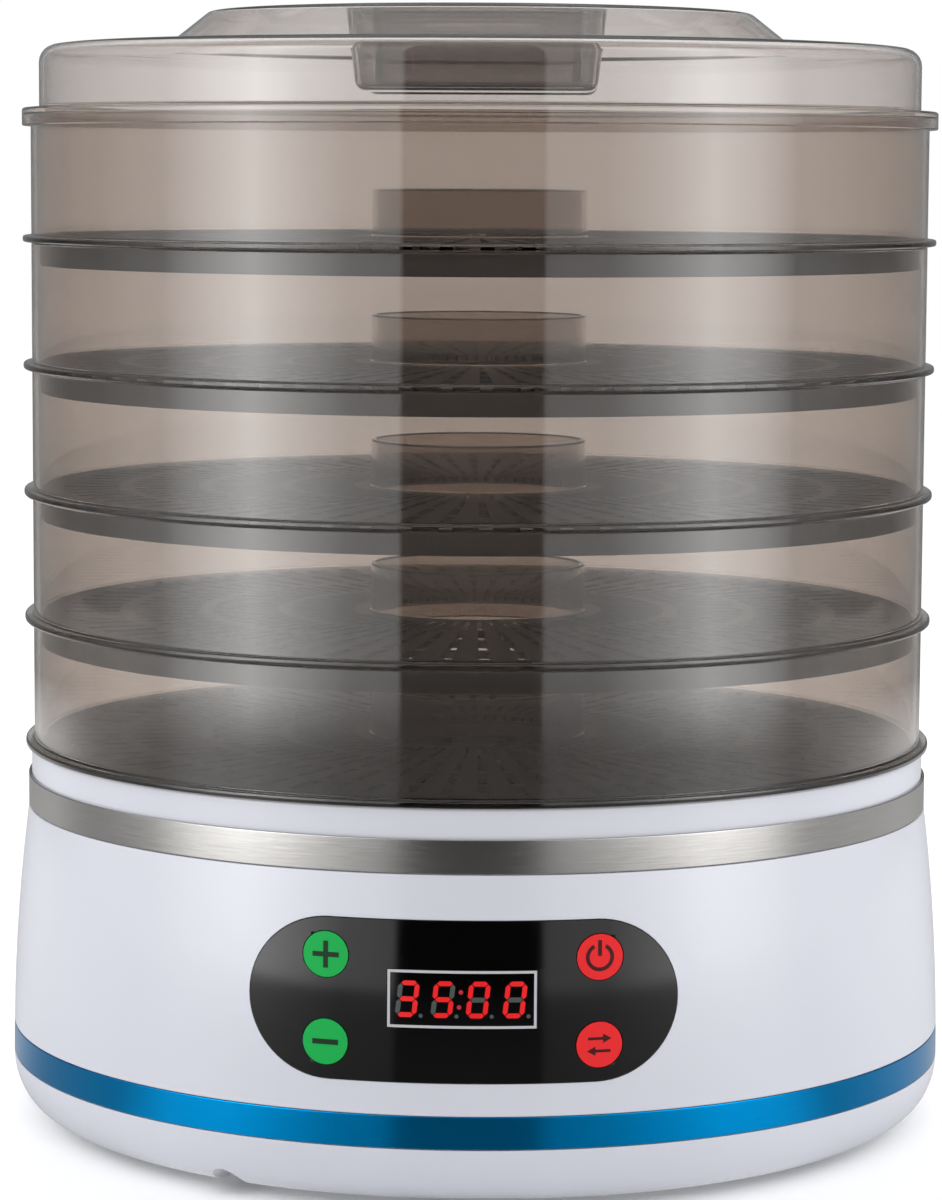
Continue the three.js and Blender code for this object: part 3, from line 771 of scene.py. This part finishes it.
# wraps a prism's two faces onto the flank, proud of it in front and depth mm inside it behind
def wrap(piece, guide, proud, depth, grid=2.0):
    editAll(piece)
    xs = [v.co.x / mm for v in piece.data.vertices]
    zs = [v.co.z / mm for v in piece.data.vertices]
    for values, normal in ((xs, (1, 0, 0)), (zs, (0, 0, 1))):
        count = math.ceil((max(values) - min(values)) / grid)
        for i in range(1, count):
            level = min(values) + (max(values) - min(values)) * i / count
            place = [n * level * mm for n in normal]
            bpy.ops.mesh.select_all(action="SELECT")
            bpy.ops.mesh.bisect(plane_co=place, plane_no=normal, threshold=0.001 * mm)
    middle = (front + 1) * mm
    sides = {"front": lambda co: co.y < middle, "back": lambda co: co.y > middle}
    for side, test in sides.items():
        choose(piece, "VERT", test)
        bpy.ops.object.vertex_group_add()
        piece.vertex_groups.active.name = side
        bpy.ops.object.vertex_group_assign()
    for side, shift in (("front", -proud), ("back", depth)):
        selectGroup(piece, side)
        bpy.ops.transform.translate(value=(0, -stepBack * mm, 0))
        applyModifier(piece, "SHRINKWRAP", target=guide, wrap_method="PROJECT",
                      use_project_y=True, use_positive_direction=True,
                      use_negative_direction=False, vertex_group=side)
        selectGroup(piece, side)
        bpy.ops.transform.translate(value=(0, shift * mm, 0))
        bpy.ops.object.mode_set(mode="OBJECT")
    pick(piece)
    piece.vertex_groups.clear()
    cleanUp(piece)


print("base housing")
guide = flankGuide()
housing = turned("housing_shell", housingProfile(), 240)
gap = 2 * panel["clearance"]
recess = prism("recess_tool", stadium(panel["width"] + gap, panel["height"] + gap, panel["z"]))
wrap(recess, guide, 4, panel["inset"] + panel["recessDepth"], 3)
combine(housing, recess, "DIFFERENCE")
halfWidth = panel["windowWidth"] / 2
halfHeight = panel["windowHeight"] / 2
outside, inside = panel["windowY"]
window = block("window_tool", (-halfWidth, outside, panel["displayZ"] - halfHeight),
               (halfWidth, inside, panel["displayZ"] + halfHeight))
combine(housing, window, "DIFFERENCE")
for x, z in keys.values():
    hole = rod("key_tool", panel["keyR"] + panel["clearance"], (x, panel["holeY"], z),
               panel["holeLength"])
    combine(housing, hole, "DIFFERENCE")
cut = rod("notch_tool", notch["radius"], (0, -notch["reach"], base["bottomZ"]),
          notch["length"])
cut.rotation_euler.z = math.radians(notch["bearing"])
settle(cut)
combine(housing, cut, "DIFFERENCE")
softenEdges(housing, 0.35, 55, 2)
smooth(housing)
wear(housing, whiteShell, "base")
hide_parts("base_housing")


# steel band and blue stripe

def trimRing(name, low, high, outerLow, outerHigh, finish, node):
    inner = outerLow - base["trim"]
    path = rounded([(inner, low, 0.1), (outerLow, low, 0.25), (outerHigh, high, 0.25),
                    (inner, high, 0.1)], 3)
    piece = turned(name, path, 360)
    smooth(piece, 50)
    wear(piece, finish, "base")
    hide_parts(node)


print("trim")
bandLow = bandBox[0].z / mm
bandHigh = bandBox[1].z / mm
trimRing("brushed_band", bandLow, bandHigh, base["bandR"], base["bandR"], brushedSteel,
         "steel_band")
trimRing("blue_foil_stripe", base["stripeLow"], base["stripeHigh"], base["widestR"],
         flankR(base["stripeHigh"]), blueFoil, "blue_stripe")


# control panel

print("control panel")
plate = prism("panel_film", stadium(panel["width"], panel["height"], panel["z"]))
opening = rectangle(panel["lensWidth"] + 0.2, panel["lensHeight"] + 0.2, 0, panel["displayZ"])
combine(plate, prism("lens_tool", opening), "DIFFERENCE")
for x, z in keys.values():
    hole = rod("key_tool", panel["keyR"] + panel["clearance"], (x, front, z), 60)
    combine(plate, hole, "DIFFERENCE")
wrap(plate, guide, panel["proud"], panel["inset"], 2.5)
softenEdges(plate, 0.3, 55, 2)
smooth(plate)
wear(plate, blackFilm, "base")
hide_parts("control_panel")

lens = prism("display_glass",
             rectangle(panel["lensWidth"], panel["lensHeight"], 0, panel["displayZ"]))
wrap(lens, guide, panel["proud"], panel["inset"], 2.5)
softenEdges(lens, 0.15, 55, 2)
smooth(lens)
wear(lens, blackFilm, "base")
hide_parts("display_lens")


printThickness = 0.08


def printPiece(piece, proud, finish, body):
    wrap(piece, guide, proud, printThickness - proud)
    smooth(piece)
    wear(piece, finish, body)


def printOn(name, outlines, proud, finish, body):
    piece = joined(name, [prism(name + "_part", outline) for outline in outlines])
    printPiece(piece, proud, finish, body)


def frameLine(width, height, line, z):
    piece = prism("display_frame_line", rectangle(width, height, 0, z))
    a = width / 2 - line
    b = height / 2 - line
    room = block("frame_room", (-a, front - 5, z - b), (a, front + 15, z + b))
    combine(piece, room, "DIFFERENCE")
    return piece


display = {
    "frameWidth": 47.6,
    "frameHeight": 18.4,
    "frameLine": 0.85,
    "digitWidth": 6.9,
    "digitHeight": 11.7,
    "stroke": 1.55,
    "lean": math.tan(math.radians(6.5)),
    "centres": (-17.4, -6.0, 5.2, 16.9),
    "shown": ("abcdg", "acdfg", "abcdef", "abcdef"),
    "barGap": 0.18,
    "dotR": 0.65,
    "dotSide": 4.3,
    "dotDrop": 5.3,
    "colonR": 0.72,
    "colonX": -0.6,
    "colonRise": 2.4,
    "printProud": 0.4,
}


def disc(x, z, radius):
    return arc(x, z, radius, 0, 345, 23)


# one bar of a digit, pointed at both ends
def bar(x0, z0, x1, z1, x, z):
    t = display["stroke"] / 2
    along = Vector((x1 - x0, z1 - z0)).normalized()
    across = Vector((-along.y, along.x))
    a = Vector((x0, z0)) + along * display["barGap"]
    b = Vector((x1, z1)) - along * display["barGap"]
    corners = [a, a + (along - across) * t, b - (along + across) * t, b,
               b + (across - along) * t, a + (along + across) * t]
    return [(x + c.x + c.y * display["lean"], z + c.y) for c in corners]


def digitBars(x, z):
    w = (display["digitWidth"] - display["stroke"]) / 2
    h = (display["digitHeight"] - display["stroke"]) / 2
    return {
        "a": bar(-w, h, w, h, x, z),
        "b": bar(w, 0, w, h, x, z),
        "c": bar(w, -h, w, 0, x, z),
        "d": bar(-w, -h, w, -h, x, z),
        "e": bar(-w, -h, -w, 0, x, z),
        "f": bar(-w, 0, -w, h, x, z),
        "g": bar(-w, 0, w, 0, x, z),
    }


print("display")
litBars = []
dimBars = []
dots = []
for centre, shown in zip(display["centres"], display["shown"]):
    for letter, outline in digitBars(centre, panel["displayZ"]).items():
        (litBars if letter in shown else dimBars).append(outline)
    dots.append(disc(centre + display["dotSide"], panel["displayZ"] - display["dotDrop"],
                     display["dotR"]))
colon = []
for side in (-1, 1):
    rise = side * display["colonRise"]
    colon.append(disc(display["colonX"] + rise * display["lean"], panel["displayZ"] + rise,
                      display["colonR"]))
printPiece(frameLine(display["frameWidth"], display["frameHeight"], display["frameLine"],
                     panel["displayZ"]),
           display["printProud"], framePrint, "base")
printOn("lit_segments", litBars, display["printProud"], litSegment, "base")
printOn("unlit_segments", dimBars + dots, display["printProud"], unlitSegment, "base")
printOn("colon_dots", colon, display["printProud"], colonDot, "base")


# keys

def cross(size, line, x, z):
    a = size / 2
    b = line / 2
    corners = [(-b, -a), (b, -a), (b, -b), (a, -b), (a, b), (b, b),
               (b, a), (-b, a), (-b, b), (-a, b), (-a, -b), (-b, -b)]
    return [(x + cx, z + cz) for cx, cz in corners]


def powerGlyph(x, z):
    outer = arc(x, z, 4.5, 118, 422, 40)
    inner = arc(x, z, 3.3, 422, 118, 40)
    return [outer + inner, rectangle(1.25, 5.0, x, z + 2.9)]


def arrow(x, z, way):
    corners = [(-3.6, -0.45), (1.2, -0.45), (1.2, -1.5), (3.9, 0), (1.2, 1.5), (1.2, 0.45),
               (-3.6, 0.45)]
    return [(x + way * cx, z + way * cz) for cx, cz in corners]


print("keys")
glyphs = {
    "plus_button": (greenKey, greenPrint, lambda x, z: [cross(8.6, 1.6, x, z)],
                    "green_button"),
    "minus_button": (greenKey, greenPrint, lambda x, z: [rectangle(8.4, 1.7, x, z)],
                     "green_button"),
    "power_button": (redKey, redPrint, powerGlyph, "red_button"),
    "mode_button": (redKey, redPrint,
                    lambda x, z: [arrow(x, z + 2.0, 1), arrow(x, z - 2.0, -1)], "red_button"),
}
for name, (x, z) in keys.items():
    keyFinish, inkFinish, outlines, slot = glyphs[name]
    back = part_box(name)[1].y / mm
    cap = prism(name + "_cap", arc(x, z, panel["keyR"], 0, 354, 59))
    wrap(cap, guide, panel["keyProud"], panel["keyDepth"], 1.5)
    softenEdges(cap, 0.45, 55, 3)
    stem = rod(name + "_stem", panel["stemR"], (x, back - panel["stemLength"] / 2, z),
               panel["stemLength"], 32)
    combine(cap, stem, "UNION")
    smooth(cap)
    wear(cap, keyFinish, name)
    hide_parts(name)
    printOn(name + "_mark", outlines(x, z), panel["keyProud"] + panel["markProud"], inkFinish,
            name)
bpy.data.objects.remove(guide)


# trays

tray = {
    "pitch": 44,
    "rimR": 160,
    "rimThickness": 2.2,
    "wallOuter": 157,
    "wallInner": 155,
    "wallTop": 43.7,
    "skirtOuter": 154.2,
    "skirtInner": 152.2,
    "skirtDepth": 8,
    "chimneyOuter": 38,
    "chimneyInner": 36,
    "chimneyTop": 18.6,
    "spigot": 5,
    "rings": ((44, 66), (71, 94), (99, 122), (127, 146)),
    "wedges": 72,
    "steps": 6,
    "ribDepth": 2.0,
    "ribEnds": (7.6, 0.3),  # below the floor
}


def trayProfile(z0):
    floorR = [r for ring in tray["rings"] for r in ring]
    corners = [
        (tray["chimneyInner"], -tray["spigot"], 0.5),
        (tray["chimneyOuter"], -tray["spigot"], 0.5),
        (tray["chimneyOuter"], 0, 0.3),
    ]
    corners += [(r, 0, 0) for r in floorR]
    corners += [
        (tray["skirtInner"], 0, 0.4),
        (tray["skirtInner"], -tray["skirtDepth"], 0.5),
        (tray["skirtOuter"], -tray["skirtDepth"], 0.5),
        (tray["skirtOuter"], 0, 0.3),
        (tray["rimR"], 0, 0.7),
        (tray["rimR"], tray["rimThickness"], 0.7),
        (tray["wallOuter"], tray["rimThickness"], 0.5),
        (tray["wallOuter"], tray["wallTop"], 0.6),
        (tray["wallInner"], tray["wallTop"], 0.6),
        (tray["wallInner"], tray["rimThickness"], 0.8),
    ]
    corners += [(r, tray["rimThickness"], 0) for r in reversed(floorR)]
    corners += [
        (tray["chimneyOuter"], tray["rimThickness"], 0.6),
        (tray["chimneyOuter"], tray["chimneyTop"], 0.7),
        (tray["chimneyInner"], tray["chimneyTop"], 0.7),
    ]
    return rounded([(r, z + z0, c) for r, z, c in corners], 3)


def buildTray(name, z0):
    piece = drawn(name, trayProfile(z0))
    wedge = 360 / tray["wedges"]
    step = wedge / tray["steps"]
    spin(tray["steps"], wedge)
    bpy.ops.mesh.select_all(action="SELECT")
    bpy.ops.mesh.remove_doubles(threshold=weld)
    levels = (z0 * mm, (z0 + tray["rimThickness"]) * mm)

    def inSteps(co, first, last):
        bearing = abs(math.degrees(math.atan2(co.y, co.x)))
        return first * step < bearing < last * step

    for inner, outer in tray["rings"]:
        choose(piece, "FACE", lambda co: inner < polar(co) < outer and inSteps(co, 2, 4)
               and min(abs(co.z - level) for level in levels) < 0.05 * mm)
        bpy.ops.mesh.bridge_edge_loops()
    ribLow, ribHigh = (z0 - drop for drop in tray["ribEnds"])
    choose(piece, "FACE", lambda co: abs(polar(co) - tray["skirtInner"]) < 0.05
           and inSteps(co, 0, 1) and ribLow < co.z / mm < ribHigh)
    bpy.ops.mesh.extrude_region_move(
        TRANSFORM_OT_translate={"value": (-tray["ribDepth"] * mm, 0, 0)})
    bpy.ops.mesh.select_all(action="SELECT")
    spin(tray["wedges"] - 1, 360 - wedge, copies=True)
    cleanUp(piece)
    piece.data.materials.append(smokedWall.material)

    def low(co):
        inside = tray["chimneyOuter"] + 0.3 < polar(co) < tray["wallInner"] - 0.2
        return inside and co.z < levels[1] + 0.05 * mm

    # painted shade: floor, rib and skirt faces get the dark floor tint, and their upright
    # faces the darkest edge tint, for light run level through them
    paint(piece, smokedFloorPaintedShade, low)
    paint(piece, smokedEdgePaintedShade, lambda co: low(co)
          and min(abs(co.z - level) for level in levels) > 0.1 * mm)
    smooth(piece, 35)
    return piece


print("trays")
firstTray = buildTray("smoked_tray_1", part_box("tray_1")[1].z / mm - tray["wallTop"])
for k in range(1, 6):
    name = "tray_%d" % k
    shell = firstTray
    if k > 1:
        shell = copyOf(firstTray, "smoked_" + name, (0, 0, (k - 1) * tray["pitch"] * mm))
        smooth(shell, 35)
    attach(shell, name)
    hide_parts(name)
print("    faces in one tray", len(firstTray.data.polygons))


# lid

lid = {
    "top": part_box("lid")[1].z / mm,
    "wall": 1.8,
    "domeTopR": 94.8,
    "domeR": 110,
    "domeHeight": 12,
    "domeInset": 0.8,
    "shellR": 154,
    "shellHeight": 21.7,
    "rimR": 160,
    "rimThickness": 2.2,
    "skirtInner": 157.4,
    "skirtDepth": 4,
    "pocketWidth": 88,
    "pocketLength": 44,
    "pocketDepth": 27.8,
    "pocketTaper": 3,
    "pocketCorner": 9,
    "pocketY": 38,
    "ventWidth": 41,
    "ventHeight": 2.8,
    "ventDrop": 3,
    "ventReach": 28,
}


def lidProfile():
    top = lid["top"]
    wall = lid["wall"]
    shoulder = top - lid["domeHeight"]
    flange = shoulder - lid["shellHeight"]
    seat = flange - lid["rimThickness"]
    foot = seat - lid["skirtDepth"]
    shell = lid["shellR"]
    return rounded([
        (0, top, 0),
        (lid["domeTopR"], top, 3.5),
        (lid["domeR"], shoulder, 1.2),
        (shell, shoulder, 6),
        (shell, flange, 1.0),
        (lid["rimR"], flange, 1.0),
        (lid["rimR"], foot, 0.6),
        (lid["skirtInner"], foot, 0.4),
        (lid["skirtInner"], seat, 0.3),
        (shell - wall, seat, 0.4),
        (shell - wall, shoulder - wall, 4.2),
        (lid["domeR"] - lid["domeInset"], shoulder - wall, 1.5),
        (lid["domeTopR"] - lid["domeInset"], top - wall, 2.0),
        (0, top - wall, 0),
    ], 6)


def pocket(name, shrink, low, high, side):
    w = lid["pocketWidth"] / 2 - shrink
    h = lid["pocketLength"] / 2 - shrink
    y = side * lid["pocketY"]
    piece = block(name, (-w, y - h, low), (w, y + h, high))
    editAll(piece)
    choose(piece, "VERT", lambda co: co.z < (low + 1) * mm)
    ratio = (1 - lid["pocketTaper"] / w, 1 - lid["pocketTaper"] / h, 1)
    bpy.ops.transform.resize(value=ratio, center_override=(0, y * mm, low * mm))
    bpy.ops.object.mode_set(mode="OBJECT")
    editAll(piece)
    bpy.ops.mesh.select_mode(type="EDGE")
    bpy.ops.mesh.select_all(action="DESELECT")
    net = bmesh.from_edit_mesh(piece.data)
    for edge in net.edges:
        a, b = (v.co for v in edge.verts)
        edge.select_set(abs(a.z - b.z) > mm)
    bmesh.update_edit_mesh(piece.data)
    bpy.ops.mesh.bevel(offset=(lid["pocketCorner"] - shrink) * mm, segments=8)
    bpy.ops.mesh.select_all(action="DESELECT")
    net = bmesh.from_edit_mesh(piece.data)
    for edge in net.edges:
        edge.select_set(all(v.co.z < (low + 0.5) * mm for v in edge.verts))
    bmesh.update_edit_mesh(piece.data)
    bpy.ops.mesh.bevel(offset=(3.2 - shrink) * mm, segments=4)
    bpy.ops.object.mode_set(mode="OBJECT")
    return piece


print("lid")
cover = turned("smoked_lid", lidProfile(), 240, closed=False)
pocketFloor = lid["top"] - lid["pocketDepth"]
for side in (-1, 1):
    combine(cover, pocket("pocket_wall", 0, pocketFloor, lid["top"] - 0.9, side), "UNION")
for side in (-1, 1):
    room = pocket("pocket_room", lid["wall"], pocketFloor + lid["wall"], lid["top"] + 3, side)
    combine(cover, room, "DIFFERENCE")
ventTop = lid["top"] - lid["ventDrop"]
ventFoot = ventTop - lid["ventHeight"]
vent = block("vent_tool", (-lid["ventWidth"] / 2, -lid["ventReach"], ventFoot),
             (lid["ventWidth"] / 2, lid["ventReach"], ventTop))
combine(cover, vent, "DIFFERENCE")
softenEdges(cover, 0.4, 50, 2)
smooth(cover, 35)
wear(cover, smokedCover, "lid")
rimTop = (lid["top"] - lid["domeHeight"] - lid["shellHeight"] + 0.4) * mm
paint(cover, smokedWall, lambda co: polar(co) > lid["shellR"] - 1 and co.z < rimTop)
# painted shade: the handle pockets, seen through the dome, get a darker tint than the rest of
# the lid
pocketTop = (lid["top"] - lid["wall"] - 0.7) * mm
paint(cover, smokedPocketPaintedShade, lambda co: polar(co) < 80 and co.z < pocketTop)
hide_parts("lid")


# the pieces kept from the frame

print("kept pieces")
keptFinish = {
    "white_plastic": whiteShell,
    "dark_plastic": blackPlastic,
    "rubber": rubberFinish,
    "plated_metal": platedMetal,
    "circuit_board": boardFinish,
    "brass_parts": brassFinish,
    "heater_metal": heaterMetal,
    "mica_sheet": micaFinish,
    "blue_case": relayFinish,
}
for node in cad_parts.values():
    if node.hide_render:
        continue
    slotName = node.data.materials[0].name
    node.data.materials.clear()
    node.data.materials.append(keptFinish[slotName].material)
